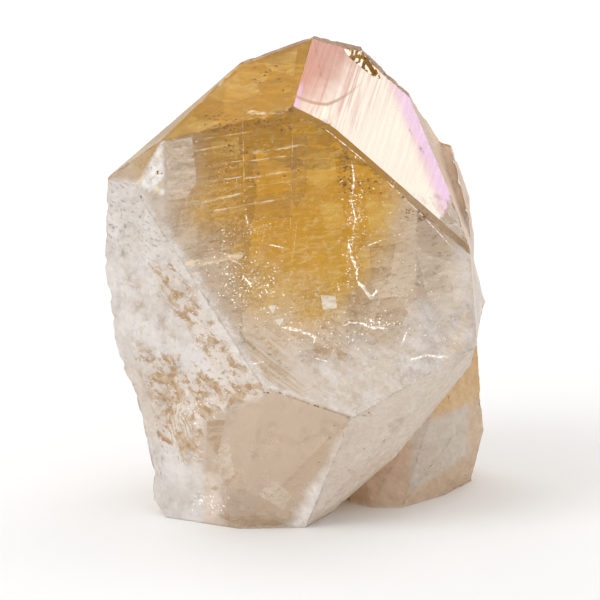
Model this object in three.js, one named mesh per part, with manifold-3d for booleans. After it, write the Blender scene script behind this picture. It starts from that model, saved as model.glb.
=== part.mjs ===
// Citrine crystal point: a stubby golden quartz point with smaller crystals grown onto its
// right-hand back, standing on its broken-off foot.
// Millimetres. +X is the viewer's right, +Y runs away from the viewer, +Z is up.
// The foot rests on Z = 0.

import * as THREE from 'three';
import { ConvexGeometry } from 'three/addons/geometries/ConvexGeometry.js';
import { mergeVertices } from 'three/addons/utils/BufferGeometryUtils.js';
import Module from 'manifold-3d';

const wasm = await Module();
wasm.setup();

// ---------------------------------------------------------------------------
// The main point. Its flat faces run from corner to corner, so these named
// corners are the sizes that shape it.
// ---------------------------------------------------------------------------

// The blunt ridge along the top, from left to right.
const TOP_RIDGE = {
  ridgeLeft: [-6.9, -5.6, 59.2],
  tip: [2.4, -4.5, 62.4],
  tipRight: [6.5, -0.7, 60.2],
  ridgeHump: [8.5, 1.3, 59.4],
  ridgeMid: [11.0, 0.8, 56.6],
  ridgeEnd: [14.7, 1.1, 53.3],
};

// Where the two sloping end faces come down to the tall front face.
const FRONT_BROW = {
  browLeft: [-17.4, -17.2, 51.5],
  browPeak: [-0.3, -18.5, 56.1],
  browCrown: [4.7, -19.3, 53.8],
  browRight: [22.5, -18.2, 37.5],
  mirrorHeel: [21.1, -13.3, 41.0],
};

// The left shoulder, and the outline of the left side below it.
const LEFT_SIDE = {
  shoulder: [-24.2, -16.2, 46.4],
  shoulderInner: [-20.8, -17.9, 45.7],
  leftHigh: [-24.6, -13.0, 34.5],
  leftMid: [-23.3, -11.8, 23.9],
  leftAnkle: [-18.4, -10.5, 1.8],
};

// The lower ridge that closes the front face, and the bulge on its right.
const LOWER_RIDGE = {
  ridgeFootLeft: [-3.9, -22.0, 19.8],
  ridgeFootMid: [7.3, -23.5, 16.3],
  ridgeFootRight: [23.5, -19.5, 25.0],
  bulge: [24.6, -8.0, 27.7],
};

// The front of the foot, where the point was broken from its bed.
const FRONT_FOOT = {
  kneeLeft: [-11.6, -17.4, 14.0],
  footLeft: [-16.8, -12.6, 0],
  footFront: [-7.3, -18.0, 0],
  footRight: [1.3, -17.5, 0],
  footRightBack: [5.0, -10.0, 0],
};

// The overhanging lower right side.
const OVERHANG = {
  overhangLow: [6.4, -12.0, 2.0],
  overhangMid: [13.3, -11.0, 7.8],
  overhangHigh: [22.9, -12.0, 20.3],
};

// The right-hand end face, beside the mirror face.
const RIGHT_END = {
  rightEndTop: [18.9, 4.0, 46.2],
  rightEndLow: [22.2, 0.0, 37.3],
};

// The side turned away from the viewer.
const BACK = {
  backBrowLeft: [-20.0, 5.0, 40.0],
  backBrowMid: [-4.0, 16.4, 43.4],
  backBrowRight: [14.0, 13.6, 41.0],
  backHipLeft: [-20.0, 7.5, 16.0],
  backHipMid: [-6.0, 18.4, 16.0],
  backHipRight: [14.0, 16.4, 15.4],
  backHipSide: [21.5, 4.0, 26.0],
  backFootLeft: [-16.5, 3.0, 0],
  backFootMid: [-8.0, 13.4, 0],
  backFootRight: [8.0, 12.4, 0],
};

// ---------------------------------------------------------------------------
// The crystals grown onto the right-hand back.
// ---------------------------------------------------------------------------

// A slim neighbour that shows as a narrow band beside the mirror face.
const SIDE_CRYSTAL = {
  sideTip: [20.2, 1.0, 46.6],
  sideTipBack: [15.4, 8.0, 46.0],
  sideShoulder: [22.7, 0.0, 39.7],
  sideFront: [22.4, -7.0, 39.2],
  sideHip: [23.4, -3.0, 35.5],
  sideFrontLow: [23.2, -5.0, 29.0],
  sideBack: [20.6, 9.4, 38.0],
  sideBackLow: [22.2, 9.0, 24.0],
  sideLow: [23.4, 1.0, 23.0],
  sideRootHigh: [8.0, 2.0, 36.0],
  sideRootLow: [8.0, 4.0, 22.0],
};

// The tan crystal beside the foot.
const FOOT_CRYSTAL = {
  toeLeft: [7.2, -5.0, 0],
  toeFront: [10.0, -8.0, 0],
  toeRight: [14.0, -8.0, 0],
  heelFront: [19.5, -2.0, 0],
  heelRight: [23.1, 4.6, 0],
  heelBack: [21.4, 12.0, 0],
  toeBack: [10.0, 15.4, 0],
  toeBackLeft: [2.0, 10.0, 0],
  waistFront: [20.6, -4.0, 8.4],
  waistRight: [24.6, 2.0, 7.7],
  waistBack: [22.8, 12.4, 8.2],
  neckFront: [19.6, -4.4, 18.0],
  neckRight: [24.0, 2.0, 13.9],
  neckTop: [23.4, 2.6, 25.0],
  neckBack: [20.4, 11.8, 24.0],
  neckRoot: [4.0, 2.0, 24.0],
};

// The shell-shaped chip broken out of the mirror-like face, just in front of the ridge.
const CHIP = {
  chipLeft: [6.2, -1.8, 59.9],
  chipTop: [8.4, 0.6, 59.0],
  chipTopRight: [10.3, 0.0, 56.7],
  chipEnd: [10.7, -0.9, 55.3],
  chipLow: [9.6, -1.3, 56.2],
  chipLowMid: [7.6, -2.3, 57.9],
  chipLowLeft: [6.6, -2.2, 59.1],
  chipDeep: [7.3, -0.3, 57.0],
  chipDeepRight: [9.1, -0.2, 55.5],
  chipOutLeft: [7.4, -2.5, 60.9],
  chipOutTop: [9.6, -0.1, 60.0],
  chipOutRight: [11.9, -1.6, 56.3],
  chipOutLow: [8.8, -3.0, 58.9],
};

// ---------------------------------------------------------------------------
// Building
// ---------------------------------------------------------------------------

// The flat-faced solid stretched tightly over groups of named corners.
function bodyOver(...groups) {
  const points = groups
    .flatMap((group) => Object.values(group))
    .map(([x, y, z]) => new THREE.Vector3(x, y, z));
  return new ConvexGeometry(points);
}

// Hands a three.js solid to the joining library.
function toSolid(geometry) {
  const bare = geometry.clone();
  bare.deleteAttribute('normal');
  bare.deleteAttribute('uv');
  const welded = mergeVertices(bare, 1e-4);
  const mesh = new wasm.Mesh({
    numProp: 3,
    vertProperties: new Float32Array(welded.attributes.position.array),
    triVerts: new Uint32Array(welded.index.array),
  });
  return new wasm.Manifold(mesh);
}

// Turns a joined solid back into a three.js geometry with crisp flat faces.
function toGeometry(solid) {
  const mesh = solid.getMesh();
  const geometry = new THREE.BufferGeometry();
  geometry.setAttribute('position', new THREE.BufferAttribute(mesh.vertProperties, 3));
  geometry.setIndex(new THREE.BufferAttribute(mesh.triVerts, 1));
  const faceted = geometry.toNonIndexed();
  faceted.computeVertexNormals();
  return faceted;
}

// Slides a geometry sideways until it is centred over the origin.
function centreOverOrigin(geometry) {
  geometry.computeBoundingBox();
  const middle = geometry.boundingBox.getCenter(new THREE.Vector3());
  return geometry.translate(-middle.x, -middle.y, 0);
}

// The crystals that grew together, joined into one piece, with the chip taken out.
function crystalGeometry() {
  const point = toSolid(bodyOver(
    TOP_RIDGE, FRONT_BROW, LEFT_SIDE, LOWER_RIDGE, FRONT_FOOT, OVERHANG, RIGHT_END, BACK,
  ));
  const sideCrystal = toSolid(bodyOver(SIDE_CRYSTAL));
  const footCrystal = toSolid(bodyOver(FOOT_CRYSTAL));
  const chip = toSolid(bodyOver(CHIP));
  const joined = point.add(sideCrystal).add(footCrystal).subtract(chip);
  return centreOverOrigin(toGeometry(joined));
}

const citrine = new THREE.MeshStandardMaterial({
  color: 0xd8ad62,
  roughness: 0.12,
  metalness: 0,
});

const crystal = new THREE.Mesh(crystalGeometry(), citrine);
crystal.name = 'crystal';

const group = new THREE.Group();
group.name = 'citrine_crystal_point';
group.add(crystal);

export default group;
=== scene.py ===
"""Citrine crystal point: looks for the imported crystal, in metres and in the part's own frame.

+X is the viewer's right, +Y runs away from the viewer, +Z is up, and the foot rests on Z = 0.
Lengths below are in millimetres wherever a name or a table says so, and mm() turns them to metres.
"""
import math
import random
from itertools import product

import bmesh
import bpy
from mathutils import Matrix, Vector, noise
from mathutils.bvhtree import BVHTree
from mathutils.kdtree import KDTree


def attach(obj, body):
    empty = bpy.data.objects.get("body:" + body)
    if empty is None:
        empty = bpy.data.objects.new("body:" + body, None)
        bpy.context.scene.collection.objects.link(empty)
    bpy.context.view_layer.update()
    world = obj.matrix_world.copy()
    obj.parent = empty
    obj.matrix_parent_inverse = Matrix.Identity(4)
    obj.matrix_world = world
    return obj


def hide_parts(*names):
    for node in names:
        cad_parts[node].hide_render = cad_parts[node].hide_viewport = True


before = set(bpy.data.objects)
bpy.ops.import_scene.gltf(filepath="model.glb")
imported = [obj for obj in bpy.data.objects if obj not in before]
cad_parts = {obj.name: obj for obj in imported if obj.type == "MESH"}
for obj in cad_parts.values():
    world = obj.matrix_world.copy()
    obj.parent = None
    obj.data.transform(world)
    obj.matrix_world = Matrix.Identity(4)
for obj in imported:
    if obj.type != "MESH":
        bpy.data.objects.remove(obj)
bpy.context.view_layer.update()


def mm(length):
    """Millimetres to metres."""
    return length * 0.001


# ---------------------------------------------------------------------------
# Sizes that drive the model
# ---------------------------------------------------------------------------

MESH_EDGE = mm(0.66)          # longest edge left on the crystal's skin
WORN_EDGE = mm(0.16)          # width of the wear along every sharp edge
BROW_BEVEL = mm(1.0)          # width of the brown bevel under the mirror face
SKIN_GAP = mm(0.03)           # how far films lie off the crystal
FLUSH = -0.04                 # depth of what lies on the front, in millimetres: just proud of it
SHOULDER_TOP = 46.3           # height of the left shoulder, where the gold cap starts, in millimetres
AIM = Vector((mm(0.65), 0.0, mm(26.5)))  # the point that the camera and the lights face
VIEW_RISE = math.radians(15)  # how far above level the camera stands
VIEW_DISTANCE = 1.733         # from the camera to the point it faces
LENS = 800.0                  # focal length of the camera, in millimetres

# Kinds of face, numbered so that a face can carry its kind.
FRONT, GOLD_END, MIRROR, LEFT, LOWER_FRONT, LOWER_RIGHT = range(6)
RIGHT_END, FOOT_CRYSTAL, BACK, BASE, CHIP, BEVEL = range(6, 12)

# The kinds that carry the weathered skin. On the base its thick white bloom is painted light, so the
# shadowed underside does not look dark.
WEATHERED = {FRONT, LEFT, LOWER_FRONT, LOWER_RIGHT, RIGHT_END, FOOT_CRYSTAL, BACK, BASE}


# ---------------------------------------------------------------------------
# Small helpers
# ---------------------------------------------------------------------------

def smooth(low, high, value):
    """0 below low, 1 above high, and a soft step between."""
    t = max(0.0, min(1.0, (value - low) / (high - low)))
    return t * t * (3.0 - 2.0 * t)


def between(low, high, value, soft):
    """1 inside a range, falling to 0 within a soft margin outside it."""
    return smooth(low - soft, low, value) * (1.0 - smooth(high, high + soft, value))


def direction(turn, rise):
    """Unit vector that is turned right of the viewer and raised, both in degrees."""
    t, r = math.radians(turn), math.radians(rise)
    return Vector((math.sin(t) * math.cos(r), -math.cos(t) * math.cos(r), math.sin(r)))


def grain(p, size, shift=0.0):
    """Smooth noise from -1 to 1 with lumps of the given size in millimetres."""
    return noise.noise(Vector((p.x / size + shift, p.y / size - shift, p.z / size + 2.0 * shift)))


def distance_to_line(p, corners):
    """Distance from a point to the nearest leg of a line through corners."""
    best = 1e9
    for a, b in zip(corners, corners[1:]):
        leg = b - a
        t = max(0.0, min(1.0, (p - a).dot(leg) / leg.length_squared))
        best = min(best, (p - a - leg * t).length)
    return best


# ---------------------------------------------------------------------------
# The crystal's body
# ---------------------------------------------------------------------------

def line_through(*corners):
    """A line through corners given in millimetres."""
    return [Vector(corner) for corner in corners]


# The top ridge, the mirror face's right-hand edge, its left and lower edges, and the soft crease
# that closes the front face on its left and below.
CREST = line_through((-6.9, -3.2, 59.2), (2.4, -2.1, 62.4), (6.5, 1.7, 60.2), (8.5, 3.7, 59.4),
                     (11.0, 3.2, 56.6), (14.7, 3.5, 53.3))
FLANK = line_through((14.7, 3.5, 53.3), (21.1, -10.9, 41.0))
SEAM = line_through((2.4, -2.1, 62.4), (-0.3, -16.1, 56.1), (4.7, -16.9, 53.8), (22.5, -15.8, 37.5))
CREASE = line_through((-20.8, -15.5, 45.7), (-3.9, -19.6, 19.8), (7.3, -21.1, 16.3))

MIRROR_NORMAL = direction(65, 44)    # which way the mirror face looks


def kind_of_face(normal, centre):
    """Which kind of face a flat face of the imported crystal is."""
    turn = math.degrees(math.atan2(normal.x, -normal.y))
    rise = math.degrees(math.asin(max(-1.0, min(1.0, normal.z))))
    x, y, z = centre * 1000.0
    if rise < -80 and z < 1:
        return BASE
    off_mirror = normal.angle(MIRROR_NORMAL)
    if z > 54.8 and x > 5 and -3 < y < 4 and off_mirror > 0.3 and abs(turn) < 121:
        return CHIP
    if off_mirror < 0.1 or (rise > 50 and 20 < turn < 45):
        return MIRROR
    if rise > 45 and -100 < turn < -10:
        return GOLD_END
    if z < 25.5 and x > 5 and y > -8:
        return FOOT_CRYSTAL
    if abs(turn) < 15 and z > 30:
        return FRONT
    if -70 < turn < -10 and y < 0:
        return LEFT
    if abs(turn) < 15 and z < 20:
        return LOWER_FRONT
    if 15 < turn < 90 and z < 26:
        return LOWER_RIGHT
    if 15 < turn < 110 and x > 15:
        return RIGHT_END
    return BACK


def crystal_blank():
    """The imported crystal, its coplanar triangles joined into whole faces that know their kind."""
    bm = bmesh.new()
    bm.from_mesh(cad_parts["crystal"].data)
    bmesh.ops.remove_doubles(bm, verts=bm.verts, dist=mm(0.02))
    bmesh.ops.dissolve_limit(bm, angle_limit=math.radians(3), verts=bm.verts, edges=bm.edges)
    kind = bm.faces.layers.int.new("kind")
    for face in bm.faces:
        face[kind] = kind_of_face(face.normal, face.calc_center_median())
    return bm


def wear_edges(bm):
    """Bevel the brow under the mirror face, and soften every other sharp edge a little."""
    kind = bm.faces.layers.int["kind"]

    def kinds(edge):
        return {face[kind] for face in edge.link_faces}

    brow = [e for e in bm.edges if kinds(e) == {MIRROR, FRONT}]
    made = bmesh.ops.bevel(bm, geom=brow, offset=BROW_BEVEL, offset_type="WIDTH", segments=1,
                           profile=0.5, affect="EDGES", clamp_overlap=True)
    for face in made["faces"]:
        face[kind] = BEVEL
    sharp = [e for e in bm.edges if e.is_manifold and e.calc_length() > mm(1.2)
             and abs(e.calc_face_angle(0.0)) > math.radians(20)]
    bmesh.ops.bevel(bm, geom=sharp, offset=WORN_EDGE, offset_type="WIDTH", segments=1,
                    profile=0.5, affect="EDGES", clamp_overlap=True)


def refine(bm, longest):
    """Split the long edges until the skin is fine enough to carve."""
    bmesh.ops.triangulate(bm, faces=bm.faces)
    for _ in range(12):
        long_edges = [e for e in bm.edges if e.calc_length() > longest]
        if not long_edges:
            return
        bmesh.ops.subdivide_edges(bm, edges=long_edges, cuts=1, use_grid_fill=False)
        bmesh.ops.triangulate(bm, faces=bm.faces)


def distance_to_edges(bm):
    """A lookup for how far a point is from the nearest sharp edge, in metres."""
    points = []
    for edge in bm.edges:
        if edge.is_manifold and edge.calc_face_angle(0.0) > math.radians(18):
            points.append((edge.verts[0].co + edge.verts[1].co) / 2.0)
    tree = KDTree(len(points))
    for index, point in enumerate(points):
        tree.insert(point, index)
    tree.balance()
    return lambda co: tree.find(co)[2]


def terraces(p, along, spacing, depth, shift):
    """Saw-tooth growth steps that follow one another in the direction called along."""
    t = p.dot(along) / spacing + 0.45 * grain(p, 7.0, shift)
    return -depth * (t - math.floor(t)) * smooth(-0.3, 0.3, grain(p, 9.0, shift + 3.0) + 0.1)


def pits(p, size, depth, share, shift):
    """Small round pits scattered over a face."""
    cell = noise.cell(p / size + Vector((shift, shift, shift)))
    near = noise.voronoi(p / size + Vector((shift, 0.0, 0.0)))[0][0]
    return -depth * (1.0 - smooth(0.12, 0.42, near)) * (1.0 if cell < share else 0.3)


def ripples(p, centre, spacing, depth):
    """Shell-like waves around a point, as glass breaks."""
    away = (p - centre).length
    return depth * math.sin(away / spacing * 2.0 * math.pi + 2.2 * grain(p, 8.0, 5.0))


def carve_front(p):
    """Growth steps on the upper left of the front face, and a faint swell all over."""
    step = terraces(p, direction(90, 0) * -0.14 + Vector((0.0, 0.0, 0.99)), 1.5, 0.16, 1.0)
    upper_left = between(-17, 4, p.x, 4.0) * smooth(36, 44, p.z)
    grooved = between(-23, -16.5, p.x, 1.0) * smooth(42, 45, p.z)
    groove = -0.22 * abs(math.sin((p.x * 0.96 + p.z * 0.28) * math.pi / 0.85))
    swell = 0.07 * grain(p, 6.0, 2.0) - 0.07
    broken = -0.22 * smooth(0.05, 0.4, grain(p, 3.2, 8.0)) * (1.0 - smooth(24, 31, p.z))
    return step * upper_left * (1 - grooved) + groove * grooved + swell + broken


def carve_left(p):
    """Wavy, pitted side with shell marks near the foot."""
    shell = ripples(p, Vector((-26.0, -12.0, 6.0)), 2.3, 0.06) * (1.0 - smooth(8, 14, p.z))
    flakes = -0.30 * smooth(0.12, 0.3, grain(p, 2.6, 1.0)) * smooth(8, 16, p.z)
    steps = terraces(p, Vector((0.35, 0.0, 0.94)), 2.4, 0.18, 4.0) * smooth(12, 30, p.z)
    return shell + flakes + steps + pits(p, 1.9, 0.24, 0.6, 0.0) + 0.10 * grain(p, 4.0, 6.0) - 0.1


def carve_lower(p):
    """Broken lower faces with shallow waves."""
    shell = ripples(p, Vector((30.0, -20.0, 30.0)), 1.9, 0.045)
    return shell + 0.12 * grain(p, 4.5, 7.0) - 0.2 + pits(p, 2.8, 0.12, 0.4, 2.0)


def carve_mirror(p):
    """Fine curved growth lines down the mirror face, and its ragged lower end."""
    bend = p.x + 0.045 * (p.z - 62.0) ** 2
    lines = -0.02 * abs(math.sin(bend * math.pi / 0.8)) * smooth(50, 54, p.z)
    rings = Vector((15.5, -7.0, 46.5))
    lines += ripples(p, rings, 0.8, 0.012) * between(0.8, 4.5, (p - rings).length, 0.8)
    ragged = -0.42 * smooth(0.0, 0.35, grain(p, 2.0, 3.0)) * (1.0 - smooth(41.5, 45.5, p.z))
    nicks = -0.3 * smooth(0.1, 0.4, grain(p, 1.6, 9.0)) * smooth(7, 10, p.x) * smooth(55, 57, p.z)
    return lines + ragged + nicks


def carve_gold_end(p):
    """A nearly flat end face."""
    return 0.03 * grain(p, 5.0, 3.0) - 0.03


def carve_back(p):
    """Striped prism faces and broken ground on the hidden side."""
    stripes = terraces(p, Vector((0.05, 0.0, 1.0)), 1.7, 0.2, 2.0)
    broken = 0.28 * grain(p, 6.5, 3.0) + 0.12 * grain(p, 2.6, 1.0) - 0.4
    return stripes + broken + pits(p, 3.0, 0.2, 0.5, 1.0)


def carve_foot_crystal(p):
    """Milky side crystals with cross stripes and shell marks."""
    stripes = terraces(p, Vector((0.1, 0.2, 1.0)), 1.6, 0.10, 6.0)
    return stripes + 0.12 * grain(p, 3.6, 4.0) - 0.12 + pits(p, 2.4, 0.12, 0.4, 4.0)


def carve_chip(p):
    """Splintered bottom of the chip."""
    return 0.14 * grain(p, 1.1, 2.0) - 0.07


CARVERS = {
    FRONT: carve_front, LEFT: carve_left, LOWER_FRONT: carve_lower, LOWER_RIGHT: carve_lower,
    MIRROR: carve_mirror, GOLD_END: carve_gold_end, BACK: carve_back, RIGHT_END: carve_lower,
    FOOT_CRYSTAL: carve_foot_crystal, CHIP: carve_chip,
}


def waist(p):
    """How far the left side is drawn in above the foot."""
    above_foot = smooth(1.5, 6.0, p.z) * (1.0 - smooth(15.0, 21.5, p.z))
    return -above_foot * (1.0 - smooth(-17.5, -14.0, p.x))


def carve(bm):
    """Sink each face's own relief into it, dying away towards the sharp edges."""
    kind = bm.faces.layers.int["kind"]
    edge = bm.verts.layers.float["edge"]
    moves = []
    for vert in bm.verts:
        kinds = {face[kind] for face in vert.link_faces}
        carvers = [CARVERS[k] for k in kinds if k in CARVERS]
        if not carvers or BASE in kinds:
            continue
        p = vert.co * 1000.0
        depth = sum(carver(p) for carver in carvers) / len(carvers)
        reach = 0.35 if carvers[0] is carve_chip else 1.1
        fade = 0.25 + 0.75 * smooth(0.0, reach, vert[edge])
        worn = 1.0 - smooth(0.0, 0.5, vert[edge])
        nick = -0.35 * worn * smooth(0.0, 0.5, grain(p, 1.3, 12.0)) - 0.12 * worn * grain(p, 5.0, 2.0)
        moves.append((vert, vert.normal * mm(depth * fade + nick + waist(p))))
    for vert, move in moves:
        vert.co += move
        vert.co.z = max(vert.co.z, 0.0)


# ---------------------------------------------------------------------------
# Masks that the finishes read: how golden, frosted, milky or stained each spot is. Each takes a
# point in millimetres and the kinds of face that meet there.
# ---------------------------------------------------------------------------

def gold_at(p, kinds):
    """The golden zone near the top, paling downwards and to both sides."""
    if GOLD_END in kinds:
        return 0.30 + 0.70 * smooth(-20.5, -10.0, p.x)
    if FOOT_CRYSTAL in kinds:
        return 0.42 * smooth(11.4, 12.6, p.z) * smooth(16.0, 18.0, p.x)
    if p.z > SHOULDER_TOP and kinds & {LEFT, BACK}:
        return 0.25 + 0.60 * smooth(-22.0, -16.0, p.x)
    reach = 20.5 if p.x < 1.5 else 17.0
    core = Vector(((p.x - 1.5) / reach, 0.0, (p.z - 51.0) / 30.0))
    amount = 1.0 - smooth(0.34, 1.0, core.length + 0.12 * grain(p, 5.0, 3.0))
    band = between(-1.0, 4.5, p.x, 2.0) * smooth(36, 43, p.z)
    return min(1.0, amount * 0.86 + 0.2 * band)


def foot_window(p):
    """The tan, clearer patch where the front foot shows past the left side's lower edge."""
    return smooth(-12.4, -11.2, p.x) * (1.0 - smooth(13.5, 15.5, p.z - 0.6 * (p.x + 11.6)))


def cloudy_side(p):
    """The milky right-hand part of the front foot."""
    return smooth(0.0, 3.6, p.x + 2.9 - 0.5 * p.z + 0.8 * grain(p, 2.2, 4.0))


def left_corner(p, start):
    """The small facet at the left end of the front, above a slanting line near this height."""
    return (1.0 - smooth(-17.2, -16.4, p.x)) * smooth(start, 45.0, p.z + 0.4 * (p.x + 17.0))


def frost_at(p, kinds):
    """Roughness of the surface."""
    rough = {FRONT: 0.06, GOLD_END: 0.10, MIRROR: 0.05, LEFT: 0.55, LOWER_FRONT: 0.35,
             LOWER_RIGHT: 0.55, RIGHT_END: 0.5, FOOT_CRYSTAL: 0.45, BACK: 0.75, BASE: 0.9,
             CHIP: 0.15, BEVEL: 0.25}
    return sum(rough[k] for k in kinds) / len(kinds)


def haze_at(p):
    """Milky haze that closes in on the front's golden window from the right and the left."""
    window = Vector(((p.x - 6.0) / 1.12, 0.0, p.z - 38.5)).length
    wavy = window + 2.0 * grain(p, 4.5, 5.0) + 0.8 * grain(p, 1.6, 3.0)
    right = smooth(11.4, 15.0, wavy) * smooth(-4.0, 5.0, p.x) * (1.0 - smooth(38.0, 43.0, p.z))
    left = (1.0 - smooth(-17.4, -15.4, p.x + 1.2 * grain(p, 2.5, 9.0))) * smooth(35.0, 38.5, p.z)
    return max(0.46 * right, 0.30 * left)


def milk_at(p, kinds):
    """White bloom on the side and the lower faces; on the base it is painted light."""
    # The base's 0.9 is painted light on the shadowed underside.
    bloom = {FRONT: 0.0, GOLD_END: 0.0, MIRROR: 0.0, LEFT: 0.62, LOWER_FRONT: 0.12,
             LOWER_RIGHT: 0.42, RIGHT_END: 0.62, FOOT_CRYSTAL: 0.42, BACK: 0.3, BASE: 0.9,
             CHIP: 0.0, BEVEL: 0.0}
    amount = sum(bloom[k] for k in kinds) / len(kinds)
    if BACK in kinds:
        amount *= 1.0 - smooth(38, 46, p.z) * (1.0 - smooth(10.0, 14.0, p.x))
        amount = max(amount, 0.65 * smooth(13.0, 17.0, p.x) * smooth(26.0, 32.0, p.z))
        amount = max(amount, 0.70 * smooth(46.0, 47.0, p.z) * (1.0 - smooth(-4.0, 0.0, p.x)))
    if LOWER_FRONT in kinds:
        amount = max(amount, 0.80 * cloudy_side(p))
    if FRONT in kinds:
        # Along the crease the bloom is a painted highlight.
        amount = max(amount, haze_at(p), 0.85 * left_corner(p, 44.0), 0.55 * crease_highlight_at(p))
    if LEFT in kinds:
        amount *= 1.0 - 0.75 * foot_window(p)
    if kinds & {LEFT, LOWER_FRONT}:
        heel = (1.0 - smooth(6.6, 8.2, p.z + 0.9 * grain(p, 2.2, 4.0))) * (1.0 - smooth(-10.6, -7.6, p.x))
        amount = max(amount, 0.62 * heel)
    if LEFT in kinds:
        amount *= 1.0 - 0.55 * smooth(SHOULDER_TOP - 0.4, SHOULDER_TOP + 0.6, p.z)
    return min(1.0, amount)


def stain_at(p, kinds):
    """How stained with brown flakes the weathered faces are."""
    if LEFT in kinds:
        beside = distance_to_line(p, CREASE)
        trail = between(1.8, 4.6, beside, 1.2) * between(21.0, 35.0, p.z, 2.0)
        low = between(9.5, 22.0, p.z, 2.5)
        rim = smooth(0.6, 2.2, p.x + 17.6 + 0.21 * p.z)
        return max(trail, low, 0.4 * between(22.0, 33.0, p.z, 3.0)) * (1.0 - foot_window(p)) * rim
    if LOWER_FRONT in kinds:
        return 0.2
    return 0.15 if kinds & {BACK, FOOT_CRYSTAL} else 0.0


def tan_at(p, kinds):
    """Smoky tan of the small crystals and of the lower front."""
    upper_right = 0.15 + 0.75 * smooth(31.0, 39.0, p.z)
    tone = {FOOT_CRYSTAL: 1.0, RIGHT_END: upper_right, LOWER_FRONT: 0.55, LOWER_RIGHT: 0.12, BACK: 0.35}
    amount = sum(tone.get(k, 0.0) for k in kinds) / len(kinds)
    if LEFT in kinds:
        amount += 0.5 * foot_window(p)
    if LOWER_FRONT in kinds:
        amount *= 1.0 - 0.8 * cloudy_side(p)
    if BACK in kinds:
        amount += 0.55 * smooth(13.0, 17.0, p.x) * smooth(31.0, 39.0, p.z)
    return min(1.0, amount)


def streak_at(p, kinds):
    """Where growth streaks show: the upper left of the front, less to the right."""
    if not kinds & {FRONT, BEVEL}:
        return 0.0
    upper = smooth(30, 40, p.z)
    return upper * (0.35 + 0.65 * between(-15, 5, p.x, 4.0))


def crackle_at(p, kinds):
    """Where the stone looks broken inside: most of all behind the front face."""
    if GOLD_END in kinds:
        return 0.55
    if FRONT not in kinds:
        return 0.5 if kinds & {LOWER_FRONT, LOWER_RIGHT, FOOT_CRYSTAL} else 0.0
    return 1.0 - 0.3 * smooth(36, 46, p.z)


def veil_at(p, kinds):
    """Where fine slanting scratches show, low on the front."""
    if FRONT not in kinds:
        return 0.0
    return between(-6.0, 15.0, p.x, 3.0) * (1.0 - smooth(25.0, 29.0, p.z))


def crest_at(p, kinds):
    """Rough brown band along the top ridge."""
    return 1.0 - smooth(0.2, 1.3, distance_to_line(p, CREST))


def flank_at(p, kinds):
    """Band along the mirror face's right-hand edge."""
    return 1.0 - smooth(0.0, 5.6, distance_to_line(p, FLANK))


def seam_at(p, kinds):
    """Narrow band along the mirror face's left and lower edges, gone near the tip."""
    return (1.0 - smooth(0.0, 1.4, distance_to_line(p, SEAM))) * (1.0 - smooth(57.0, 60.0, p.z))


def crease_highlight_at(p):
    """Pale band along the soft crease that closes the front face: a painted highlight on the edge, laid
    on as milky bloom.
    """
    return 1.0 - smooth(0.3, 1.5, distance_to_line(p, CREASE) + 0.5 * grain(p, 1.5, 2.0))


def crown_at(p, kinds):
    """The brighter gold of the upper left end face."""
    return smooth(-19.0, -9.0, p.x) if GOLD_END in kinds else 0.0


def hollow_at(p, kinds):
    """The inside of the chip."""
    return 1.0 if CHIP in kinds else 0.0


def pane_at(p, kinds):
    """The paler patch on the crystal beside the foot."""
    if FOOT_CRYSTAL not in kinds:
        return 0.0
    above = smooth(0.0, 0.5, p.z - 1.6 - 0.42 * (p.x - 15.5) * (1.0 if p.x > 15.5 else 2.0))
    return above * between(15.4, 22.2, p.x, 0.9) * (1.0 - smooth(10.6, 11.6, p.z - 0.12 * (p.x - 17.0)))


def comb_at(p, kinds):
    """The small bright facet with slanting grooves at the left end of the front."""
    return left_corner(p, 43.5) if FRONT in kinds else 0.0


def rust_at(p, kinds):
    """Where the left side is most broken: low down, and along the crease."""
    if LEFT not in kinds:
        return 0.0
    trail = between(2.0, 4.4, distance_to_line(p, CREASE), 1.2) * between(22.0, 33.0, p.z, 2.0)
    return max(between(11.5, 19.0, p.z, 2.5), 0.8 * trail) * (1.0 - foot_window(p))


def band_at(p, kinds):
    """The brown bevel under the mirror face, fading out at its lower rim."""
    return 1.0 if kinds == {BEVEL} or {BEVEL, MIRROR} <= kinds else 0.0


def pit_at(p, kinds):
    """Where the left side shows small grey pits."""
    if LEFT not in kinds:
        return 0.0
    return smooth(33.0, 39.0, p.z) * (1.0 - smooth(45.4, 46.4, p.z))


MASKS = {
    "gold": gold_at, "frost": frost_at, "milk": milk_at, "stain": stain_at, "tan": tan_at,
    "streak": streak_at, "crackle": crackle_at, "veil": veil_at, "crest": crest_at,
    "flank": flank_at, "seam": seam_at, "crown": crown_at, "hollow": hollow_at, "pane": pane_at,
    "comb": comb_at, "rust": rust_at, "band": band_at, "pit": pit_at,
}


def store_masks(bm):
    """Store every mask on the points, and how far each point is from a sharp edge in millimetres."""
    kind = bm.faces.layers.int["kind"]
    edge_distance = distance_to_edges(bm)
    edge = bm.verts.layers.float.new("edge")
    layers = {name: bm.verts.layers.float.new(name) for name in MASKS}
    for vert in bm.verts:
        p = vert.co * 1000.0
        kinds = {face[kind] for face in vert.link_faces}
        vert[edge] = edge_distance(vert.co) * 1000.0
        for name, rule in MASKS.items():
            vert[layers[name]] = rule(p, kinds)


def finish_mesh(name, bm, sharp_angle, material):
    """Turn a bmesh into a smooth-shaded object that keeps its sharp edges."""
    mesh = bpy.data.meshes.new(name)
    bm.to_mesh(mesh)
    mesh.shade_smooth()
    mesh.set_sharp_from_angle(angle=math.radians(sharp_angle))
    piece = bpy.data.objects.new(name, mesh)
    bpy.context.scene.collection.objects.link(piece)
    mesh.materials.append(material)
    return piece


def register(piece):
    """Every piece rides on the one body."""
    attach(piece, "root")


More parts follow.
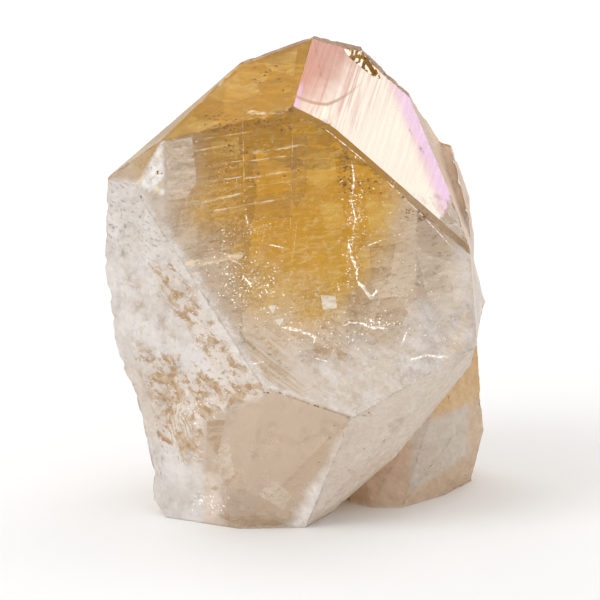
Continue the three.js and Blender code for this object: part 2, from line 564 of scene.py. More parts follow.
def build_body(material):
    """The whole carved crystal as one closed piece, and the mesh that the details lean on."""
    bm = crystal_blank()
    wear_edges(bm)
    refine(bm, MESH_EDGE)
    bm.normal_update()
    store_masks(bm)
    carve(bm)
    bm.normal_update()
    piece = finish_mesh("crystal_body", bm, 30, material)
    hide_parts("crystal")
    register(piece)
    return bm


def skin_over(name, body_bm, kinds, material):
    """A thin film that follows the body's own surface over the given kinds of face."""
    bm = body_bm.copy()
    kind = bm.faces.layers.int["kind"]
    unwanted = [face for face in bm.faces if face[kind] not in kinds]
    for vert in bm.verts:
        vert.co += vert.normal * SKIN_GAP
        vert.co.z = max(vert.co.z, SKIN_GAP)
    bmesh.ops.delete(bm, geom=unwanted, context="FACES")
    register(finish_mesh(name, bm, 30, material))
    bm.free()


# ---------------------------------------------------------------------------
# Node helpers
# ---------------------------------------------------------------------------

class Nodes:
    """A small builder for one node tree."""

    def __init__(self, tree):
        self.tree = tree

    def add(self, kind, **settings):
        """A new shader node with some of its settings."""
        node = self.tree.nodes.new("ShaderNode" + kind)
        for key, value in settings.items():
            setattr(node, key, value)
        return node

    def plug(self, node, socket, value):
        """Link an output to an input, or set the input to a value."""
        target = node.inputs[socket]
        if isinstance(value, bpy.types.NodeSocket):
            self.tree.links.new(value, target)
        else:
            target.default_value = value

    def math(self, operation, a, b=0.0, clamp=False):
        """One step of arithmetic; clamp keeps the result between 0 and 1."""
        node = self.add("Math", operation=operation, use_clamp=clamp)
        self.plug(node, 0, a)
        self.plug(node, 1, b)
        return node.outputs[0]

    def plus(self, a, b):
        return self.math("ADD", a, b)

    def minus(self, a, b, clamp=False):
        return self.math("SUBTRACT", a, b, clamp)

    def times(self, a, b, clamp=False):
        return self.math("MULTIPLY", a, b, clamp)

    def larger(self, a, b, clamp=False):
        return self.math("MAXIMUM", a, b, clamp)

    def mask(self, name):
        """A mask stored on the mesh."""
        return self.add("Attribute", attribute_name=name).outputs["Fac"]

    def place(self, stretch=(1.0, 1.0, 1.0), turn=(0.0, 0.0, 0.0)):
        """Position on the object for a pattern that is stretched and then turned."""
        spot = self.add("TexCoord").outputs["Object"]
        mapping = self.add("Mapping", vector_type="TEXTURE")
        self.plug(mapping, "Vector", spot)
        self.plug(mapping, "Scale", stretch)
        self.plug(mapping, "Rotation", tuple(math.radians(a) for a in turn))
        return mapping.outputs["Vector"]

    def across_and_height(self):
        """X and Z on the object, in millimetres."""
        split = self.add("SeparateXYZ")
        self.plug(split, "Vector", self.place())
        return self.times(split.outputs["X"], 1000.0), self.times(split.outputs["Z"], 1000.0)

    def noise(self, where, size, detail=3.0, roughness=0.55, distortion=0.0):
        """Cloudy noise with lumps of a size in millimetres."""
        node = self.add("TexNoise")
        self.plug(node, "Vector", where)
        self.plug(node, "Scale", 1000.0 / size)
        self.plug(node, "Detail", detail)
        self.plug(node, "Roughness", roughness)
        self.plug(node, "Distortion", distortion)
        return node.outputs["Fac"]

    def cells(self, where, size, feature="F1", output="Distance"):
        """Cells of a size in millimetres."""
        node = self.add("TexVoronoi", feature=feature)
        self.plug(node, "Vector", where)
        self.plug(node, "Scale", 1000.0 / size)
        return node.outputs[output]

    def red(self, colour):
        """The red part of a colour, as a number."""
        split = self.add("SeparateColor")
        self.plug(split, "Color", colour)
        return split.outputs["Red"]

    def step(self, value, low, high, to_low=0.0, to_high=1.0):
        """A soft step from one value to another."""
        node = self.add("MapRange", interpolation_type="SMOOTHSTEP")
        self.plug(node, "Value", value)
        self.plug(node, "From Min", low)
        self.plug(node, "From Max", high)
        self.plug(node, "To Min", to_low)
        self.plug(node, "To Max", to_high)
        return node.outputs["Result"]

    def blend(self, amount, first, second):
        """Mix two colours."""
        node = self.add("Mix", data_type="RGBA")
        self.plug(node, 0, amount)
        self.plug(node, 6, first if isinstance(first, bpy.types.NodeSocket) else (*first, 1.0))
        self.plug(node, 7, second if isinstance(second, bpy.types.NodeSocket) else (*second, 1.0))
        return node.outputs[2]

    def paint(self, colour, tone, strength, amount, mask=None):
        """Lay a tone over a colour, by an amount and where a mask lets it."""
        shown = self.times(amount, strength if mask is None else self.times(mask, strength))
        return self.blend(shown, colour, tone)

    def bump(self, height, depth):
        """Turn a height from 0 to 1 into a relief of a depth in millimetres."""
        node = self.add("Bump")
        self.plug(node, "Height", height)
        self.plug(node, "Distance", mm(depth))
        self.plug(node, "Strength", 1.0)
        return node.outputs["Normal"]


def new_material(name):
    """A material with a Principled shader on its output, and a builder for its nodes."""
    material = bpy.data.materials.new(name)
    material.use_nodes = True
    nodes = Nodes(material.node_tree)
    shader = material.node_tree.nodes["Principled BSDF"]
    return material, nodes, shader


def glow(shader, colour, strength):
    """Painted light: a little emission of its own, for faces that throw back light from inside the stone.
    """
    shader.inputs["Emission Color"].default_value = (*colour, 1.0)
    shader.inputs["Emission Strength"].default_value = strength


def group(name, inputs, outputs, fill):
    """A shader node group with named numbers as its inputs and outputs."""
    tree = bpy.data.node_groups.new(name, "ShaderNodeTree")
    for label, value in inputs.items():
        socket = tree.interface.new_socket(label, in_out="INPUT", socket_type="NodeSocketFloat")
        socket.default_value = value
    for label in outputs:
        tree.interface.new_socket(label, in_out="OUTPUT", socket_type="NodeSocketFloat")
    nodes = Nodes(tree)
    given = tree.nodes.new("NodeGroupInput").outputs
    result = tree.nodes.new("NodeGroupOutput")
    for label, value in fill(nodes, given).items():
        nodes.plug(result, label, value)
    return tree


def use_group(nodes, tree, **values):
    """Place a node group, and set or link its inputs."""
    node = nodes.tree.nodes.new("ShaderNodeGroup")
    node.node_tree = tree
    for label, value in values.items():
        nodes.plug(node, label, value)
    return node.outputs


# ---------------------------------------------------------------------------
# Effects shared by several finishes
# ---------------------------------------------------------------------------

GROWTH_TURN = (0.0, -9.0, 0.0)   # turns a pattern along the growth lines, which climb to the right
CRACK_TURN = (0.0, 38.0, 0.0)    # turns a pattern along the cracks, which fall to the right


def growth_line_group():
    """Fine parallel growth lines, a little wavy and broken."""
    def fill(nodes, given):
        where = nodes.place(turn=GROWTH_TURN)
        wave = nodes.add("TexWave", wave_type="BANDS", bands_direction="Z", wave_profile="SAW")
        nodes.plug(wave, "Vector", where)
        nodes.plug(wave, "Scale", nodes.math("DIVIDE", 1000.0 / 20.0, given["Spacing"]))
        nodes.plug(wave, "Distortion", 1.2)
        nodes.plug(wave, "Detail", 2.0)
        nodes.plug(wave, "Detail Scale", 0.6)
        broken = nodes.step(nodes.noise(where, 9.0), 0.42, 0.6)
        return {"Height": nodes.times(wave.outputs["Fac"], broken)}
    return group("growth lines", {"Spacing": 1.0}, ["Height"], fill)


def bloom_group():
    """Cloudy milky mottling."""
    def fill(nodes, given):
        where = nodes.place()
        clouds = nodes.noise(where, 5.0, detail=5.0)
        fine = nodes.noise(where, 0.8)
        both = nodes.plus(nodes.times(clouds, 0.7), nodes.times(fine, 0.3))
        return {"Amount": nodes.step(both, given["Low"], given["High"]), "Height": fine}
    return group("milky bloom", {"Low": 0.35, "High": 0.65}, ["Amount", "Height"], fill)


def growth_streak_group():
    """Streaks along the growth lines: pale ones and dark ones."""
    def fill(nodes, given):
        fine = nodes.noise(nodes.place(stretch=(8.0, 8.0, 1.0), turn=GROWTH_TURN), 0.36)
        broad = nodes.noise(nodes.place(stretch=(3.0, 3.0, 1.0), turn=GROWTH_TURN), 2.6)
        both = nodes.plus(nodes.times(fine, 0.55), nodes.times(broad, 0.45))
        return {"Pale": nodes.step(both, 0.54, 0.64), "Dark": nodes.step(both, 0.47, 0.38)}
    return group("growth streaks", {}, ["Pale", "Dark"], fill)


def crackle_group():
    """Flat panes of light and shade, as inner cracks and far faces give, and a fine broken grain."""
    def fill(nodes, given):
        where = nodes.place(stretch=(1.0, 1.0, 1.7), turn=CRACK_TURN)
        panes = nodes.add("TexVoronoi", feature="F1")
        nodes.plug(panes, "Vector", where)
        nodes.plug(panes, "Scale", nodes.math("DIVIDE", 1000.0, given["Size"]))
        nodes.plug(panes, "Detail", 1.0)
        nodes.plug(panes, "Roughness", 0.45)
        along = nodes.place(stretch=(2.6, 2.6, 1.0), turn=(0.0, -11.0, 0.0))
        fine = nodes.noise(along, 0.42, detail=4.0, roughness=0.7)
        soft = nodes.noise(where, 3.0, detail=4.0, roughness=0.65, distortion=0.6)
        return {"Pane": nodes.red(panes.outputs["Color"]), "Grain": fine, "Cloud": soft}
    return group("inner crackle", {"Size": 5.0}, ["Pane", "Grain", "Cloud"], fill)


# ---------------------------------------------------------------------------
# The stone itself
# ---------------------------------------------------------------------------

CLEAR = (0.88, 0.76, 0.63)
TAN = (0.68, 0.50, 0.33)
GOLD = (0.83, 0.52, 0.12)
AMBER = (0.76, 0.40, 0.004)
PALE = (0.95, 0.84, 0.66)
PALE_GOLD = (0.94, 0.68, 0.24)
SHADE = (0.56, 0.38, 0.20)
DEEP_GOLD = (0.58, 0.29, 0.01)
CROWN_GOLD = (0.98, 0.50, 0.01)
SCRATCH_WHITE = (0.95, 0.90, 0.84)
# The white of the flecks is a painted glint.
FLECK_GLINT_WHITE = (1.0, 0.95, 0.86)
FLECK_BROWN = (0.42, 0.25, 0.10)
PATCH_CREAM = (0.90, 0.82, 0.72)
BEVEL_BROWN = (0.46, 0.27, 0.08)
CHIP_BROWN = (0.42, 0.23, 0.03)
CREST_BROWN = (0.62, 0.33, 0.22)
# Darker brown laid along the sharp edges where the stone is golden.
EDGE_BROWN = (0.30, 0.14, 0.04)


def gold_amount(nodes, inner):
    """How golden the stone is, swinging a little from one inner pane to the next."""
    gold = nodes.mask("gold")
    swing = nodes.minus(nodes.plus(inner["Pane"], inner["Cloud"]), 1.0)
    return nodes.plus(gold, nodes.times(swing, nodes.times(gold, 0.35)))


def paint_crackle(nodes, colour, inner, light, dark):
    """Clouds, panes and grain inside the stone, as lighter and darker patches; the panes are painted
    reflections and shade of inner faces, the grain is the stone's own.
    """
    broken = nodes.mask("crackle")
    colour = nodes.paint(colour, light, 0.45, nodes.step(inner["Cloud"], 0.52, 0.72), broken)
    colour = nodes.paint(colour, dark, 0.42, nodes.step(inner["Pane"], 0.45, 0.15), broken)
    colour = nodes.paint(colour, light, 0.78, nodes.step(inner["Grain"], 0.53, 0.64), broken)
    return nodes.paint(colour, dark, 0.72, nodes.step(inner["Grain"], 0.46, 0.36), broken)


def paint_lines(nodes, colour, streaks, light, dark):
    """Growth streaks high on the front, and slanting scratches low on it."""
    growth = use_group(nodes, streaks)
    streaked = nodes.mask("streak")
    colour = nodes.paint(colour, light, 0.55, growth["Pale"], streaked)
    colour = nodes.paint(colour, dark, 0.50, growth["Dark"], streaked)
    scratches = nodes.noise(nodes.place(stretch=(14.0, 14.0, 1.0), turn=CRACK_TURN), 0.42, detail=2.0)
    veiled = nodes.mask("veil")
    colour = nodes.paint(colour, SCRATCH_WHITE, 0.8, nodes.step(scratches, 0.53, 0.66), veiled)
    return nodes.paint(colour, SHADE, 0.5, nodes.step(scratches, 0.47, 0.38), veiled)


def paint_flecks(nodes, colour, flecks):
    """Small white flecks, painted glints, and brown flecks in loose fields."""
    field = nodes.times(nodes.mask("crackle"), nodes.step(nodes.noise(nodes.place(), 3.5), 0.48, 0.62))
    colour = nodes.paint(colour, FLECK_GLINT_WHITE, 0.8, nodes.step(flecks, 0.58, 0.68), field)
    return nodes.paint(colour, FLECK_BROWN, 0.5, nodes.step(flecks, 0.43, 0.34), field)


def paint_places(nodes, colour, flecks):
    """The cream patch beside the foot, the bevel, the chip, the crest, and a darker brown along the sharp
    edges of the golden zone.
    """
    colour = nodes.paint(colour, PATCH_CREAM, 0.8, nodes.mask("pane"))
    colour = nodes.paint(colour, BEVEL_BROWN, 0.7, nodes.mask("band"))
    colour = nodes.paint(colour, CHIP_BROWN, 0.85, nodes.mask("hollow"))
    ragged = nodes.plus(nodes.mask("crest"), nodes.times(flecks, 0.6))
    colour = nodes.paint(colour, CREST_BROWN, 0.7, nodes.step(ragged, 0.75, 1.15))
    wavy_edge = nodes.plus(nodes.mask("edge"), nodes.noise(nodes.place(), 1.2))
    return nodes.paint(colour, EDGE_BROWN, 0.6, nodes.step(wavy_edge, 0.95, 0.45), nodes.mask("gold"))


def citrine_colour(nodes, streaks, crackle):
    """The stone's own colour: golden above, paler below, with inner panes, grain and streaks."""
    inner = use_group(nodes, crackle, Size=5.5)
    gold = gold_amount(nodes, inner)
    colour = nodes.blend(nodes.mask("tan"), CLEAR, TAN)
    colour = nodes.blend(nodes.step(gold, 0.0, 0.5), colour, GOLD)
    colour = nodes.blend(nodes.step(gold, 0.38, 0.85), colour, AMBER)
    light = nodes.blend(nodes.step(gold, 0.2, 0.8), PALE, PALE_GOLD)
    dark = nodes.blend(nodes.step(gold, 0.1, 0.6), SHADE, DEEP_GOLD)
    uneven = nodes.step(inner["Cloud"], 0.7, 0.3, 0.55, 1.0)
    colour = nodes.paint(colour, CROWN_GOLD, 0.75, nodes.mask("crown"), uneven)
    colour = paint_crackle(nodes, colour, inner, light, dark)
    colour = paint_lines(nodes, colour, streaks, light, dark)
    flecks = nodes.noise(nodes.place(), 0.45)
    colour = paint_flecks(nodes, colour, flecks)
    return paint_places(nodes, colour, flecks)


def citrine_glass(lines, bloom, streaks, crackle):
    """The citrine itself: a clear golden stone, frosted on its side and lower faces."""
    material, nodes, shader = new_material("citrine")
    cloudy = use_group(nodes, bloom, Low=0.35, High=0.62)
    frost = nodes.times(nodes.mask("frost"), nodes.step(cloudy["Amount"], 0.0, 1.0, 0.6, 1.0))
    ridges = use_group(nodes, lines, Spacing=0.7)
    ridged = nodes.times(ridges["Height"], nodes.times(nodes.mask("streak"), 0.5))
    relief = nodes.plus(nodes.times(cloudy["Height"], frost), ridged)
    nodes.plug(shader, "Base Color", citrine_colour(nodes, streaks, crackle))
    nodes.plug(shader, "Roughness", nodes.plus(nodes.times(frost, 0.7), 0.03))
    nodes.plug(shader, "Normal", nodes.bump(relief, 0.12))
    shader.inputs["Transmission Weight"].default_value = 0.70
    shader.inputs["IOR"].default_value = 1.54
    shader.inputs["Metallic"].default_value = 0.0
    absorb = nodes.add("VolumeAbsorption")
    absorb.inputs["Color"].default_value = (0.86, 0.74, 0.52, 1.0)
    absorb.inputs["Density"].default_value = 12.0
    output = nodes.tree.nodes["Material Output"]
    nodes.tree.links.new(absorb.outputs["Volume"], output.inputs["Volume"])
    return material


# ---------------------------------------------------------------------------
# The film on the mirror face: a painted reflection with its iridescent sheen
# ---------------------------------------------------------------------------

# Cream is the painted reflection of the light on the face; pink, rose and lilac are its painted
# iridescent sheen.
FILM_REFLECTION_CREAM = (0.97, 0.86, 0.73)
FILM_LINE = (0.80, 0.52, 0.44)
FILM_SHEEN_PINK = (0.84, 0.58, 0.62)
FILM_SHEEN_ROSE = (0.60, 0.27, 0.20)
FILM_SHEEN_LILAC = (0.85, 0.56, 0.80)
FILM_GROOVE = (0.50, 0.28, 0.18)


def film_groove(nodes, across, height):
    """One dark curved line that sags across the upper left of the film."""
    bow = nodes.times(nodes.times(across, across), 0.045)
    sag = nodes.plus(nodes.times(across, -0.5), bow)
    away = nodes.math("ABSOLUTE", nodes.minus(nodes.minus(height, 57.3), sag))
    return nodes.times(nodes.step(away, 0.20, 0.07), nodes.step(across, 10.0, 5.0))


def film_sheen_colour(nodes, lines, across, height):
    """Painted reflection and sheen: cream with fine rose lines, turning rose at the tip and lilac and
    pink at the edges.
    """
    wobble = nodes.noise(nodes.place(), 5.0)
    upper = nodes.minus(nodes.plus(height, nodes.times(wobble, 4.0)), nodes.times(across, 0.35))
    lined = nodes.times(nodes.step(lines, 0.48, 0.64), nodes.step(upper, 50.0, 56.0, 0.06, 1.0))
    colour = nodes.blend(lined, FILM_REFLECTION_CREAM, FILM_LINE)
    flank = nodes.mask("flank")
    pink = nodes.times(nodes.step(flank, 0.0, 0.6), nodes.step(height, 58.0, 49.0, 0.3, 1.0))
    colour = nodes.paint(colour, FILM_SHEEN_PINK, 0.9, pink)
    colour = nodes.paint(colour, FILM_SHEEN_ROSE, 0.95, nodes.step(upper, 55.5, 60.5))
    lilac = nodes.larger(nodes.step(nodes.plus(nodes.mask("seam"), wobble), 0.9, 1.4, 0.0, 0.8),
                         nodes.step(nodes.plus(flank, wobble), 0.85, 1.45))
    colour = nodes.paint(colour, FILM_SHEEN_LILAC, 0.85, lilac)
    return nodes.paint(colour, FILM_GROOVE, 0.8, film_groove(nodes, across, height))


def film_gaps(nodes, across, height):
    """Where the film is gone: along the ragged crest, and below its torn lower end."""
    worn = nodes.plus(nodes.mask("crest"), nodes.times(nodes.noise(nodes.place(), 0.7), 0.7))
    jagged = nodes.times(nodes.noise(nodes.place(), 1.6, detail=4.0), 5.0)
    torn = nodes.plus(jagged, nodes.minus(across, height))
    return nodes.larger(nodes.step(worn, 0.85, 1.10), nodes.step(torn, -20.3, -19.3))


def sheen_film_finish():
    """The pearly film on the mirror face: a painted reflection of the light, with its iridescent sheen.
    """
    material, nodes, shader = new_material("sheen film")
    across, height = nodes.across_and_height()
    lines = nodes.noise(nodes.place(stretch=(1.0, 60.0, 60.0), turn=(0.0, 31.0, 0.0)), 0.26, detail=2.0)
    cover = nodes.step(lines, 0.25, 0.7, 0.95, 0.85)
    nodes.plug(shader, "Base Color", film_sheen_colour(nodes, lines, across, height))
    nodes.plug(shader, "Roughness", nodes.step(lines, 0.3, 0.7, 0.18, 0.34))
    nodes.plug(shader, "Alpha", nodes.minus(cover, film_gaps(nodes, across, height), clamp=True))
    nodes.plug(shader, "Normal", nodes.bump(lines, 0.03))
    shader.inputs["Metallic"].default_value = 0.25
    shader.inputs["IOR"].default_value = 1.6
    return material


# ---------------------------------------------------------------------------
# The weathered skin
# ---------------------------------------------------------------------------

ARC_CENTRE = (mm(-12.4), mm(-14.6), mm(13.9))   # middle of the shell-like arcs on the left side
ARC_SPACING = 0.72                              # from one arc to the next, in millimetres
BLOOM_WHITE = (0.90, 0.87, 0.85)
BLOOM_PEACH = (0.97, 0.74, 0.56)
BLOOM_RUSTY = (0.86, 0.74, 0.62)
BLOOM_GOLD = (0.84, 0.56, 0.22)
BLOOM_GREY = (0.80, 0.75, 0.68)
FLAKE_BROWN = (0.44, 0.27, 0.13)
FLAKE_TAN = (0.66, 0.50, 0.34)
PIT_GREY = (0.40, 0.36, 0.33)
SKIN_GLINT_WHITE = (1.0, 0.97, 0.93)
COMB_TAN = (0.80, 0.68, 0.52)


def shell_arcs(nodes):
    """Nested shell-like arcs where the left side broke, just above the foot."""
    away = nodes.add("VectorMath", operation="DISTANCE")
    nodes.plug(away, 0, nodes.place())
    nodes.plug(away, 1, ARC_CENTRE)
    reach = nodes.times(away.outputs["Value"], 1000.0)
    wobble = nodes.times(nodes.noise(nodes.place(), 2.0), 2.4)
    wave = nodes.math("SINE", nodes.times(nodes.plus(reach, wobble), 2.0 * math.pi / ARC_SPACING))
    shown = nodes.times(nodes.step(reach, 0.8, 1.6), nodes.step(reach, 6.4, 4.8))
    across, height = nodes.across_and_height()
    below = nodes.step(nodes.plus(height, across), 1.9, 0.4)
    return nodes.times(nodes.step(wave, 0.1, 0.7), nodes.times(shown, below))


def skin_stains(nodes, slant):
    """Brown broken patches, dashes and arcs, where the stain mask lets them show."""
    broad = nodes.plus(nodes.noise(slant, 2.0, detail=8.0, roughness=0.7, distortion=0.4),
                       nodes.times(nodes.mask("rust"), 0.06))
    patches = nodes.step(broad, 0.53, 0.585)
    dashes = nodes.step(nodes.noise(slant, 0.55, detail=4.0, roughness=0.6), 0.57, 0.64)
    spots = nodes.larger(patches, nodes.times(dashes, 0.8))
    stained = nodes.mask("stain")
    arcs = nodes.times(shell_arcs(nodes), stained)
    return nodes.larger(nodes.times(spots, stained), nodes.times(arcs, 0.8))


def skin_colour(nodes, stains):
    """The bloom's colour from place to place, with stains, pits, painted glints and comb grooves on it.
    """
    where = nodes.place()
    bare = nodes.blend(nodes.mask("tan"), BLOOM_WHITE, BLOOM_PEACH)
    bare = nodes.paint(bare, BLOOM_RUSTY, 0.5, nodes.mask("rust"))
    bare = nodes.blend(nodes.mask("gold"), bare, BLOOM_GOLD)
    bare = nodes.blend(nodes.mask("pane"), bare, BLOOM_GREY)
    flakes = nodes.blend(nodes.step(nodes.noise(where, 0.9), 0.35, 0.65), FLAKE_BROWN, FLAKE_TAN)
    colour = nodes.blend(stains, bare, flakes)
    pits = nodes.noise(nodes.place(stretch=(1.8, 1.0, 1.0), turn=(0.0, 30.0, 0.0)), 0.42)
    pits = nodes.times(nodes.step(pits, 0.56, 0.66), nodes.mask("pit"))
    colour = nodes.paint(colour, PIT_GREY, 0.75, pits)
    # White spots over the stains: painted glints.
    glints = nodes.step(nodes.noise(where, 0.35), 0.62, 0.70)
    colour = nodes.blend(nodes.times(glints, nodes.mask("stain")), colour, SKIN_GLINT_WHITE)
    comb = nodes.noise(nodes.place(stretch=(12.0, 12.0, 1.0), turn=(0.0, -50.0, 0.0)), 0.55, detail=2.0)
    return nodes.blend(nodes.times(nodes.step(comb, 0.46, 0.60), nodes.mask("comb")), colour, COMB_TAN)


def skin_cover(nodes, slant, cloudy, stains):
    """How thickly the skin covers the stone: the uneven bloom, the stains and the cream patch."""
    wisps = nodes.noise(slant, 1.4, detail=7.0, roughness=0.75)
    uneven = nodes.times(nodes.step(wisps, 0.38, 0.62, -0.35, 0.25), nodes.mask("crackle"))
    thick = nodes.times(nodes.step(cloudy["Amount"], 0.0, 1.0, 0.75, 1.2), nodes.plus(uneven, 1.0))
    milky = nodes.times(nodes.mask("milk"), thick)
    cover = nodes.larger(milky, nodes.times(stains, 0.82), clamp=True)
    patchy = nodes.step(cloudy["Amount"], 0.2, 0.8, 0.25, 0.55)
    return nodes.larger(cover, nodes.times(nodes.mask("pane"), patchy))


def weathered_finish(bloom):
    """Milky bloom with brown flakes, seen as a thin broken skin."""
    material, nodes, shader = new_material("weathered skin")
    cloudy = use_group(nodes, bloom, Low=0.25, High=0.75)
    slant = nodes.place(stretch=(1.5, 1.0, 1.0), turn=(0.0, 34.0, 0.0))
    stains = skin_stains(nodes, slant)
    nodes.plug(shader, "Base Color", skin_colour(nodes, stains))
    nodes.plug(shader, "Alpha", skin_cover(nodes, slant, cloudy, stains))
    nodes.plug(shader, "Roughness", nodes.step(cloudy["Amount"], 0.0, 1.0, 0.28, 0.5))
    nodes.plug(shader, "Normal", nodes.bump(cloudy["Height"], 0.15))
    return material


# ---------------------------------------------------------------------------
# Finishes of the small details
# ---------------------------------------------------------------------------

def fracture_glint_finish():
    """Bright inner fracture faces, lit as painted glints with a glow."""
    material, nodes, shader = new_material("fracture glint")
    spots = nodes.noise(nodes.place(), 0.4, detail=4.0, roughness=0.7)
    nodes.plug(shader, "Base Color", nodes.blend(spots, (0.95, 0.84, 0.68), (1.0, 0.97, 0.92)))
    nodes.plug(shader, "Roughness", nodes.step(spots, 0.3, 0.7, 0.15, 0.4))
    nodes.plug(shader, "Normal", nodes.bump(spots, 0.08))
    nodes.plug(shader, "Alpha", nodes.step(spots, 0.40, 0.58, 0.10, 0.90))
    glow(shader, (1.0, 0.97, 0.93), 0.4)
    return material


def band_finish():
    """Pale, slightly milky growth bands, with a faint painted glow."""
    material, nodes, shader = new_material("growth band")
    streaks = nodes.noise(nodes.place(stretch=(5.0, 5.0, 1.0), turn=GROWTH_TURN), 0.5)
    nodes.plug(shader, "Base Color", nodes.blend(streaks, (1.0, 0.90, 0.72), (0.96, 0.80, 0.52)))
    nodes.plug(shader, "Alpha", nodes.step(streaks, 0.38, 0.64, 0.03, 0.5))
    nodes.plug(shader, "Roughness", nodes.step(streaks, 0.3, 0.7, 0.3, 0.5))
    nodes.plug(shader, "Normal", nodes.bump(streaks, 0.05))
    glow(shader, (1.0, 0.85, 0.6), 0.10)
    return material


def pane_finish(name, tint, thin, thick):
    """A flat, slightly cloudy pane that lightens or darkens what lies behind it; the bright, light and
    shade sets are painted light and shade, the gold set a richer tone.
    """
    material, nodes, shader = new_material(name)
    along = nodes.place(stretch=(3.0, 3.0, 1.0), turn=GROWTH_TURN)
    cloud = nodes.noise(along, 0.9, detail=5.0, roughness=0.7)
    nodes.plug(shader, "Base Color", nodes.blend(cloud, tint, tuple(0.85 * part for part in tint)))
    nodes.plug(shader, "Alpha", nodes.step(cloud, 0.3, 0.7, thin, thick))
    nodes.plug(shader, "Roughness", nodes.step(cloud, 0.3, 0.7, 0.2, 0.4))
    nodes.plug(shader, "Normal", nodes.bump(cloud, 0.04))
    return material


def chip_glint_finish():
    """Cream splinters in the chip, lit as painted highlights with a glow, parted by gaps that show the
    brown stone under them.
    """
    material, nodes, shader = new_material("chip splinter glints")
    where = nodes.place(stretch=(1.0, 1.0, 1.5), turn=(0.0, 40.0, 0.0))
    cloud = nodes.noise(where, 1.3)
    inward = nodes.cells(where, 1.5, feature="DISTANCE_TO_EDGE")
    ragged = nodes.plus(inward, nodes.times(cloud, 0.12))
    splinters = nodes.times(nodes.step(ragged, 0.15, 0.21), nodes.step(cloud, 0.57, 0.53))
    nodes.plug(shader, "Base Color", nodes.blend(cloud, (1.0, 0.93, 0.78), (0.98, 0.80, 0.50)))
    nodes.plug(shader, "Roughness", nodes.step(cloud, 0.3, 0.7, 0.2, 0.4))
    nodes.plug(shader, "Normal", nodes.bump(cloud, 0.08))
    nodes.plug(shader, "Alpha", splinters)
    glow(shader, (1.0, 0.95, 0.85), 0.5)
    return material


def veil_cover(nodes, cloudy):
    """How thick a veil is: broken shards of cloud, and specks scattered between them."""
    blocks = nodes.place(stretch=(1.4, 1.0, 1.0), turn=(0.0, 24.0, 0.0))
    shards = nodes.step(nodes.red(nodes.cells(blocks, 2.6, output="Color")), 0.35, 0.8)
    where = nodes.place()
    specks = nodes.step(nodes.cells(where, 0.55), 0.30, 0.18)
    sparse = nodes.times(specks, nodes.step(nodes.noise(where, 3.0), 0.5, 0.62))
    thick = nodes.plus(nodes.times(cloudy["Amount"], nodes.times(shards, 0.9)), nodes.times(sparse, 0.6))
    return nodes.times(thick, nodes.mask("thickness"), clamp=True)


def veil_finish(bloom):
    """Cloudy inner veils: a film of tiny bubbles, thick in some spots and gone in others."""
    material, nodes, shader = new_material("inner veil")
    cloudy = use_group(nodes, bloom, Low=0.36, High=0.62)
    tone = nodes.noise(nodes.place(), 4.0)
    nodes.plug(shader, "Base Color", nodes.blend(tone, (0.96, 0.93, 0.88), (0.90, 0.78, 0.62)))
    nodes.plug(shader, "Alpha", veil_cover(nodes, cloudy))
    nodes.plug(shader, "Roughness", nodes.step(cloudy["Height"], 0.3, 0.7, 0.2, 0.5))
    nodes.plug(shader, "Normal", nodes.bump(cloudy["Height"], 0.2))
    shader.inputs["Metallic"].default_value = 0.2
    return material


def speck_finish():
    """Dark rust-brown grains."""
    material, nodes, shader = new_material("rust grain")
    tone = nodes.noise(nodes.place(), 0.5)
    nodes.plug(shader, "Base Color", nodes.blend(tone, (0.10, 0.035, 0.012), (0.36, 0.17, 0.06)))
    nodes.plug(shader, "Roughness", nodes.step(tone, 0.3, 0.7, 0.35, 0.6))
    nodes.plug(shader, "Normal", nodes.bump(tone, 0.05))
    return material


# ---------------------------------------------------------------------------
# What lies on the crystal's front and behind it
# ---------------------------------------------------------------------------

class Inside:
    """Finds points on the crystal's front, and points a given depth behind it."""

    AWAY = Vector((0.0, 1.0, 0.0))

    def __init__(self, bm):
        self.tree = BVHTree.FromBMesh(bm)

    def behind(self, x, z, depth):
        """Point at x and z millimetres, this deep behind the front; None where it would poke out."""
        start = Vector((mm(x), -0.1, mm(z)))
        hit = self.tree.ray_cast(start, self.AWAY)[0]
        if hit is None:
            return None
        far_side = self.tree.ray_cast(hit + self.AWAY * mm(0.3), self.AWAY)[0]
        if far_side is None or far_side.y - hit.y < mm(depth + 1.5):
            return None
        return hit + self.AWAY * mm(depth)


